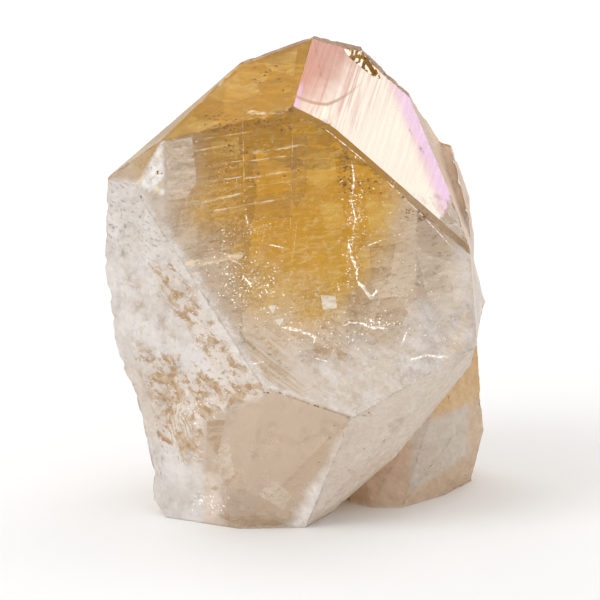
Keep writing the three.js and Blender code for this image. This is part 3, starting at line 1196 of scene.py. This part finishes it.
# Bright streaks, painted glints along real cracks: corner points as (x, z), then the width, in
# millimetres.
BRIGHT_STREAKS = [
    ([(6.8, 39.4), (7.2, 37.4), (7.9, 35.6), (8.0, 34.0)], 0.34),
    ([(8.0, 34.0), (9.0, 32.9), (9.8, 31.7)], 0.62),
    ([(9.7, 31.6), (10.3, 32.4), (10.8, 32.8)], 0.50),
    ([(9.2, 38.5), (10.2, 38.8), (11.2, 39.1)], 0.22),
    ([(-1.7, 27.9), (0.6, 27.5), (2.6, 26.8), (2.4, 26.0)], 0.44),
    ([(6.1, 28.3), (7.2, 28.7), (8.3, 28.6), (10.0, 27.9), (11.9, 27.7)], 0.36),
    ([(14.4, 23.4), (17.0, 24.0), (18.4, 23.7), (19.8, 23.6)], 0.34),
    ([(13.5, 25.2), (14.1, 26.4), (14.4, 27.3)], 0.30),
    ([(5.4, 33.9), (5.7, 32.8)], 0.18),
    ([(2.6, 24.0), (4.4, 23.6)], 0.16),
    ([(-5.6, 23.0), (-4.0, 23.4)], 0.22),
    ([(7.3, 49.5), (7.6, 46.6), (7.2, 44.4), (7.8, 42.0), (7.4, 40.4)], 0.22),
    ([(-8.4, 36.6), (-7.0, 36.0)], 0.24),
    ([(-6.8, 34.6), (-5.6, 33.2)], 0.26),
    ([(-3.4, 38.6), (-1.4, 38.2)], 0.22),
    ([(-6.3, 42.3), (-6.0, 40.9)], 0.20),
    # The painted highlight along the lower edge of the brown bevel under the mirror face.
    ([(3.6, 53.9), (6.4, 51.6), (9.2, 49.1)], 0.15),
    ([(11.8, 46.7), (14.2, 44.3), (16.6, 41.8)], 0.15),
    ([(16.8, 41.6), (18.8, 39.4), (20.2, 37.8)], 0.10),
]

# Bright panes of painted light: corners as (x, z) in millimetres.
BRIGHT_PANES = [
    [(3.3, 32.2), (5.2, 32.1), (5.4, 30.6), (3.6, 30.3)],
    [(-3.5, 30.6), (-2.4, 30.8), (-2.8, 29.6)],
    [(-2.7, 28.9), (-1.4, 29.1), (-2.0, 28.0)],
    [(8.0, 33.8), (9.5, 32.5), (9.8, 31.4)],
]

# Sparkling fields of painted glints: centre (x, z), half spread (x, z), how many flakes, and their size,
# in millimetres.
SPARKLE_FIELDS = [
    ((-6.5, 33.5), (5.0, 4.0), 300, 0.17),
    ((-6.0, 40.0), (4.5, 3.0), 90, 0.14),
    ((7.8, 43.0), (1.2, 6.0), 170, 0.18),
    ((11.5, 44.0), (4.0, 5.0), 80, 0.12),
    ((4.0, 27.5), (9.0, 3.5), 120, 0.16),
    ((7.2, 36.5), (1.0, 4.0), 90, 0.15),
    ((14.0, 31.0), (5.0, 5.0), 80, 0.13),
    ((-8.5, 48.0), (6.0, 6.0), 90, 0.11),
    ((-11.2, 3.0), (2.2, 1.2), 80, 0.17),
    ((-13.0, 15.5), (4.0, 3.5), 110, 0.15),
    ((20.0, 27.0), (3.0, 4.0), 40, 0.12),
    ((10.5, 28.4), (2.6, 1.0), 60, 0.16),
]

# Panes of painted light, lighter than what is around them: corners as (x, z) in millimetres.
LIGHT_PANES = [
    [(-16.6, 51.4), (-13.2, 52.2), (-12.6, 46.6), (-13.9, 44.4), (-16.4, 44.0)],
    [(15.4, 38.6), (17.2, 36.9), (19.9, 36.1), (20.5, 34.3), (21.7, 29.9), (18.1, 29.6), (16.8, 32.4)],
    [(-8.6, 13.0), (-7.8, 7.4), (-9.0, 4.8), (-10.6, 9.2)],
    [(-4.7, 5.0), (-2.7, 7.2), (-0.3, 4.8), (-1.5, 2.6)],
    [(13.9, 30.4), (15.0, 31.4), (14.8, 29.4)],
    [(8.4, 22.8), (13.0, 24.6), (12.0, 21.6)],
]

# Panes of brighter gold, in the same way.
GOLD_PANES = [
    [(-11.6, 56.0), (-7.0, 58.4), (-3.2, 58.6), (-5.0, 56.6), (-9.0, 55.6)],
    [(-17.0, 51.4), (-13.4, 54.0), (-9.4, 54.0), (-13.0, 52.6)],
    [(-4.6, 60.0), (0.4, 61.2), (-0.2, 58.8), (-3.4, 58.9)],
    [(0.6, 50.2), (5.0, 51.0), (5.4, 47.4), (3.0, 45.6), (1.8, 46.0)],
    [(2.8, 44.6), (6.0, 44.0), (6.6, 41.0), (4.0, 40.6)],
    [(-10.8, 51.6), (-7.2, 52.4), (-7.0, 50.0), (-10.4, 49.6)],
    [(9.0, 45.6), (13.0, 43.6), (12.4, 40.4), (9.4, 40.8)],
]

# Panes of painted shade, darker than what is around them, in the same way.
SHADE_PANES = [
    [(-12.4, 41.0), (-10.5, 41.8), (-6.6, 41.0), (-6.4, 38.9), (-8.0, 38.4), (-12.8, 36.9)],
    [(-6.4, 44.6), (-0.6, 45.6), (-0.4, 42.2), (-6.2, 41.6)],
    [(-0.5, 52.6), (1.6, 52.8), (1.5, 45.4), (0.2, 43.4), (-0.6, 44.8)],
    [(-6.2, 49.0), (1.0, 50.2), (1.0, 48.9), (-6.4, 47.4)],
    [(-11.0, 48.2), (-7.2, 49.0), (-7.0, 46.9), (-11.2, 46.0)],
    [(9.6, 38.2), (13.0, 38.6), (12.4, 35.2), (9.8, 34.2)],
    [(11.0, 31.6), (13.2, 31.8), (14.6, 29.6), (13.6, 28.0), (10.2, 28.8)],
    [(5.3, 25.3), (6.9, 24.6), (5.6, 23.6)],
    [(2.4, 26.2), (4.9, 25.4), (4.4, 24.2), (2.3, 24.9)],
    [(12.1, 14.9), (14.9, 15.6), (13.2, 12.9), (12.0, 13.0)],
    [(11.6, 12.6), (12.8, 12.0), (11.3, 10.2)],
    [(-11.0, 5.0), (-7.3, 7.9), (-9.4, 4.6)],
    [(-10.8, 1.6), (-4.0, 1.9), (-1.0, 0.4), (-7.0, 0.3)],
    [(-11.4, 14.6), (-9.0, 14.9), (-10.0, 9.8), (-11.2, 11.6)],
]

# Each set of panes: its piece, its corners, its finish, its tint, and the least and most it covers.
PANE_SETS = [
    ("bright_panes", BRIGHT_PANES, "bright pane", (1.0, 0.93, 0.82), 0.25, 0.80),
    ("light_panes", LIGHT_PANES, "light pane", (0.98, 0.86, 0.71), 0.0, 0.52),
    ("gold_panes", GOLD_PANES, "gold pane", (1.0, 0.70, 0.20), 0.0, 0.40),
    ("shade_panes", SHADE_PANES, "shade pane", (0.46, 0.27, 0.10), 0.05, 0.36),
]

# Pale growth bands: start (x, z), end (x, z), and width, in millimetres.
GROWTH_BANDS = [
    ((-15.4, 35.3), (-6.4, 37.3), 0.75),
    ((-14.4, 34.3), (-10.8, 35.1), 0.22),
    ((-14.2, 43.2), (-6.6, 45.2), 0.22),
    ((-12.0, 42.4), (0.4, 45.0), 0.16),
    ((-11.4, 46.4), (-6.8, 47.3), 0.18),
    ((-6.6, 47.0), (1.0, 48.4), 0.20),
    ((-6.4, 45.9), (1.6, 47.1), 0.14),
    ((-6.2, 50.3), (1.4, 51.6), 0.24),
    ((-11.0, 48.6), (-6.6, 49.4), 0.14),
    ((-15.0, 50.0), (-8.0, 51.4), 0.14),
    ((-6.0, 49.3), (-1.0, 50.1), 0.12),
    ((-11.8, 52.0), (-4.0, 53.4), 0.12),
    ((-8.9, 41.6), (-9.6, 36.4), 0.09),
    ((-6.7, 54.6), (-6.5, 45.0), 0.08),
    ((-0.3, 53.0), (-0.6, 40.0), 0.06),
    ((-3.8, 41.0), (-5.0, 35.0), 0.08),
    ((0.3, 42.0), (-0.8, 33.0), 0.07),
    ((-6.2, 55.2), (-0.9, 55.5), 0.26),
]

# Dark grains: centre (x, z), half spread (x, z), in millimetres, and how many.
SPECK_CLUSTERS = [
    ((-6.0, 53.9), (5.6, 0.9), 110),
    ((6.4, 48.0), (0.9, 2.6), 70),
    ((9.6, 46.0), (1.6, 1.0), 24),
    ((15.2, 42.2), (1.8, 0.8), 44),
    ((-2.0, 49.0), (5.0, 4.0), 12),
    ((-7.6, 51.0), (1.6, 1.0), 34),
    ((-3.4, 58.6), (3.6, 1.2), 34),
    ((-18.6, 48.6), (1.6, 1.4), 9),
    ((-4.6, 19.6), (1.6, 0.5), 8),
    ((3.0, 12.0), (6.0, 5.0), 6),
    ((9.0, 16.6), (0.9, 0.25), 10),
]

# Veils: x range, z range, depth at the corners (top left, top right, low left, low right), all in
# millimetres, and strength.
VEILS = [
    ((-15.0, -2.0), (29.0, 38.0), (2.0, 3.0, 1.5, 4.0), 1.0),
    ((-5.0, 14.0), (20.0, 34.0), (5.0, 4.0, 1.5, 2.0), 1.0),
    ((4.0, 22.0), (24.0, 40.0), (6.0, 2.0, 3.0, 1.5), 0.9),
]
VEIL_STEP = 0.7              # distance between the points of a veil, in millimetres
LEAST_VEIL_DEPTH = 0.6       # no veil comes nearer to the front than this, in millimetres
RIBBON_STEP = 0.28           # distance between the cuts across a ribbon, in millimetres
FLAKE_LEANS = (-35.0, 12.0, 12.0, 80.0)   # how flakes lean, in degrees; most lie nearly level


def flake(bm, inside, centre, size, dice):
    """One small jagged splinter that lies on the front."""
    count = dice.randint(3, 5)
    lean = math.radians(dice.choice(FLAKE_LEANS) + dice.gauss(0.0, 14.0))
    start = dice.uniform(0.0, 2.0 * math.pi)
    spots = []
    for index in range(count):
        angle = start + 2.0 * math.pi * (index + dice.uniform(-0.2, 0.2)) / count
        along = size * dice.uniform(0.6, 1.3) * math.cos(angle)
        across = size * dice.uniform(0.2, 0.5) * math.sin(angle)
        x = centre[0] + along * math.cos(lean) - across * math.sin(lean)
        z = centre[1] + along * math.sin(lean) + across * math.cos(lean)
        spots.append(inside.behind(x, z, FLUSH))
    if all(spots):
        bm.faces.new([bm.verts.new(spot) for spot in spots])


def ribbon(bm, inside, points, width, dice):
    """A thin strip that follows points on the front, uneven and tapering at its ends."""
    legs = list(zip(points, points[1:]))
    total = sum(math.dist(a, b) for a, b in legs)
    done, rows = 0.0, []
    for a, b in legs:
        length = math.dist(a, b)
        count = max(2, round(length / RIBBON_STEP))
        side = Vector((-(b[1] - a[1]), b[0] - a[0])) / length
        for index in range(count + 1):
            t = index / count
            along = (done + length * t) / total
            taper = smooth(0.0, 0.12, along) * (1.0 - smooth(0.88, 1.0, along))
            half = 0.5 * width * (0.15 + 0.85 * taper) * dice.uniform(0.55, 1.15)
            x = a[0] + (b[0] - a[0]) * t + dice.uniform(-0.2, 0.2) * width
            z = a[1] + (b[1] - a[1]) * t + dice.uniform(-0.2, 0.2) * width
            low = inside.behind(x - side.x * half, z - side.y * half, FLUSH)
            high = inside.behind(x + side.x * half, z + side.y * half, FLUSH)
            rows.append((bm.verts.new(low), bm.verts.new(high)) if low and high else None)
        done += length
    for first, second in zip(rows, rows[1:]):
        if first and second:
            bm.faces.new((first[0], second[0], second[1], first[1]))


def drop_loose_points(bm):
    """Remove points that no face uses."""
    bmesh.ops.delete(bm, geom=[v for v in bm.verts if not v.link_faces], context="VERTS")


def build_fractures(inside, material):
    """Bright streaks and sparkling flakes where the crystal is cracked inside, drawn as painted glints.
    """
    dice = random.Random(11)
    bm = bmesh.new()
    for points, width in BRIGHT_STREAKS:
        ribbon(bm, inside, points, 0.8 * width, dice)
    for (cx, cz), (sx, sz), count, size in SPARKLE_FIELDS:
        for _ in range(count):
            centre = (cx + sx * dice.gauss(0.0, 0.5), cz + sz * dice.gauss(0.0, 0.5))
            flake(bm, inside, centre, size * dice.uniform(0.4, 1.3), dice)
    drop_loose_points(bm)
    register(finish_mesh("fracture_flakes", bm, 30, material))


def build_panes(name, inside, panes, material):
    """Panes cut into small triangles and laid on the front, as far faces and healed cracks show: painted
    light and shade, and patches of richer gold.
    """
    bm = bmesh.new()
    for corners in panes:
        bm.faces.new([bm.verts.new((x, 0.0, z)) for x, z in corners])
    bmesh.ops.triangulate(bm, faces=bm.faces[:])
    bmesh.ops.subdivide_edges(bm, edges=bm.edges[:], cuts=5, use_grid_fill=True)
    for vert in bm.verts[:]:
        spot = inside.behind(vert.co.x, vert.co.z, FLUSH)
        if spot:
            vert.co = spot
        else:
            bm.verts.remove(vert)
    register(finish_mesh(name, bm, 30, material))


def build_growth_bands(inside, material):
    """Pale bands that mark where the crystal paused in growing."""
    dice = random.Random(23)
    bm = bmesh.new()
    for start, end, width in GROWTH_BANDS:
        ribbon(bm, inside, [start, end], 1.4 * width, dice)
    drop_loose_points(bm)
    register(finish_mesh("growth_bands", bm, 30, material))


def build_specks(inside, material):
    """Little rust grains as irregular closed lumps."""
    dice = random.Random(5)
    bm = bmesh.new()
    for (cx, cz), (sx, sz), count in SPECK_CLUSTERS:
        for _ in range(count):
            x, z = cx + sx * dice.uniform(-1, 1), cz + sz * dice.uniform(-1, 1)
            spot = inside.behind(x, z, 0.0)
            if not spot:
                continue
            made = bmesh.ops.create_icosphere(bm, subdivisions=1, radius=mm(dice.uniform(0.05, 0.16)))
            squeeze = Vector((dice.uniform(0.6, 1.7), dice.uniform(0.4, 0.9), dice.uniform(0.4, 1.1)))
            for vert in made["verts"]:
                vert.co = spot + vert.co * squeeze * dice.uniform(0.75, 1.25)
    register(finish_mesh("rust_grains", bm, 30, material))


def veil_depth(depths, across, up, wave):
    """How deep a veil lies at these shares of its width and its height, in millimetres."""
    top = depths[0] + (depths[1] - depths[0]) * across
    low = depths[2] + (depths[3] - depths[2]) * across
    return max(LEAST_VEIL_DEPTH, low + (top - low) * up + wave)


def veil_sheet(bm, inside, thickness, veil, shift):
    """One wavy sheet of cloud, thinning out towards its rim."""
    (x0, x1), (z0, z1), depths, strength = veil
    columns = round((x1 - x0) / VEIL_STEP) + 1
    rows = round((z1 - z0) / VEIL_STEP) + 1
    grid = {}
    for row, column in product(range(rows), range(columns)):
        s, t = column / (columns - 1), row / (rows - 1)
        p = Vector((x0 + (x1 - x0) * s, 0.0, z0 + (z1 - z0) * t))
        wave = 0.7 * grain(p, 5.0, shift) + 0.3 * grain(p, 1.8, shift + 6.0)
        spot = inside.behind(p.x, p.z, veil_depth(depths, s, t, wave))
        if spot:
            grid[row, column] = bm.verts.new(spot)
            grid[row, column][thickness] = strength * smooth(0.0, 0.25, min(s, 1 - s, t, 1 - t))
    for row, column in product(range(rows - 1), range(columns - 1)):
        around = ((row, column), (row, column + 1), (row + 1, column + 1), (row + 1, column))
        corners = [grid.get(key) for key in around]
        if all(corners):
            bm.faces.new(corners)


def build_veils(inside, material):
    """Curved cloudy sheets inside the point."""
    bm = bmesh.new()
    thickness = bm.verts.layers.float.new("thickness")
    for index, veil in enumerate(VEILS):
        veil_sheet(bm, inside, thickness, veil, index + 1.0)
    drop_loose_points(bm)
    register(finish_mesh("inner_veils", bm, 60, material))


# ---------------------------------------------------------------------------
# Floor, light and camera
# ---------------------------------------------------------------------------

FLOOR_FRONT = -1.2           # Y of the floor's near edge, in metres
FLOOR_BACK = 0.9             # Y where the floor starts to curve up
FLOOR_BEND = 0.6             # radius of that curve
FLOOR_TOP = 1.6              # height where the floor ends behind
FLOOR_HALF_WIDTH = 1.8
LIGHT_DISTANCE = 0.9         # from every light to the crystal, in metres

# Lights: name, direction from the crystal, size in metres, and power in watts.
LIGHTS = [
    ("mirror_panel", (0.62, 0.68, 0.40), 0.6, 0.85),
    ("key", (-0.75, -0.55, 0.9), 0.5, 2.6),
    ("top_panel", (0.41, 0.34, 0.85), 0.5, 0.7),
    ("rear", (-0.5, 0.8, 0.6), 0.5, 1.2),
]


def build_floor():
    """A plain pale floor that curves up far behind the crystal."""
    bm = bmesh.new()
    profile = [(FLOOR_FRONT, 0.0), (FLOOR_BACK, 0.0)]
    for index in range(1, 13):
        angle = math.pi / 2.0 * index / 12
        profile.append((FLOOR_BACK + FLOOR_BEND * math.sin(angle),
                        FLOOR_BEND * (1.0 - math.cos(angle))))
    profile.append((FLOOR_BACK + FLOOR_BEND, FLOOR_TOP))
    rows = [[bm.verts.new((x, y, z)) for x in (-FLOOR_HALF_WIDTH, FLOOR_HALF_WIDTH)]
            for y, z in profile]
    for low, high in zip(rows, rows[1:]):
        bm.faces.new((low[0], low[1], high[1], high[0]))
    material, _, shader = new_material("pale floor")
    shader.inputs["Base Color"].default_value = (0.90, 0.90, 0.90, 1.0)
    shader.inputs["Roughness"].default_value = 0.9
    shader.inputs["Specular IOR Level"].default_value = 0.1
    finish_mesh("floor", bm, 60, material)


def soft_light(name, towards, size, watts):
    """A square soft light that faces the crystal."""
    data = bpy.data.lights.new(name, "AREA")
    data.shape = "SQUARE"
    data.size = size
    data.energy = watts
    lamp = bpy.data.objects.new(name, data)
    lamp.location = AIM + Vector(towards).normalized() * LIGHT_DISTANCE
    lamp.rotation_euler = (AIM - lamp.location).to_track_quat("-Z", "Y").to_euler()
    bpy.context.scene.collection.objects.link(lamp)


def build_light():
    """A bright tent all round, with a key light and three softer panels."""
    world = bpy.data.worlds.new("tent")
    world.use_nodes = True
    backdrop = world.node_tree.nodes["Background"]
    backdrop.inputs["Color"].default_value = (1.0, 0.99, 0.98, 1.0)
    backdrop.inputs["Strength"].default_value = 0.80
    bpy.context.scene.world = world
    for name, towards, size, watts in LIGHTS:
        soft_light(name, towards, size, watts)


def build_camera():
    """The camera, straight in front and a little above level."""
    data = bpy.data.cameras.new("camera")
    data.lens = LENS
    data.sensor_width = 36.0
    data.clip_start = 0.01
    camera = bpy.data.objects.new("camera", data)
    back = Vector((0.0, -math.cos(VIEW_RISE), math.sin(VIEW_RISE)))
    camera.location = AIM + back * VIEW_DISTANCE
    camera.rotation_euler = (-back).to_track_quat("-Z", "Y").to_euler()
    bpy.context.scene.collection.objects.link(camera)
    bpy.context.scene.camera = camera


def set_look():
    """Plain colours and enough light bounces for a clear stone."""
    scene = bpy.context.scene
    scene.view_settings.view_transform = "Standard"
    scene.cycles.max_bounces = 12
    scene.cycles.transmission_bounces = 10
    scene.cycles.glossy_bounces = 4
    scene.cycles.transparent_max_bounces = 12
    scene.cycles.sample_clamp_indirect = 4.0


def main():
    """Build every piece, then the floor, the lights and the camera."""
    bloom = bloom_group()
    glass = citrine_glass(growth_line_group(), bloom, growth_streak_group(), crackle_group())
    body_bm = build_body(glass)
    # The mirror face's film is a painted reflection with its iridescent sheen.
    skin_over("mirror_film", body_bm, {MIRROR}, sheen_film_finish())
    skin_over("weathered_skin", body_bm, WEATHERED, weathered_finish(bloom))
    inside = Inside(body_bm)
    build_fractures(inside, fracture_glint_finish())
    skin_over("chip_splinter_glints", body_bm, {CHIP}, chip_glint_finish())
    for name, panes, finish, tint, thin, thick in PANE_SETS:
        build_panes(name, inside, panes, pane_finish(finish, tint, thin, thick))
    build_growth_bands(inside, band_finish())
    build_specks(inside, speck_finish())
    build_veils(inside, veil_finish(bloom))
    body_bm.free()
    build_floor()
    build_light()
    build_camera()
    set_look()


main()
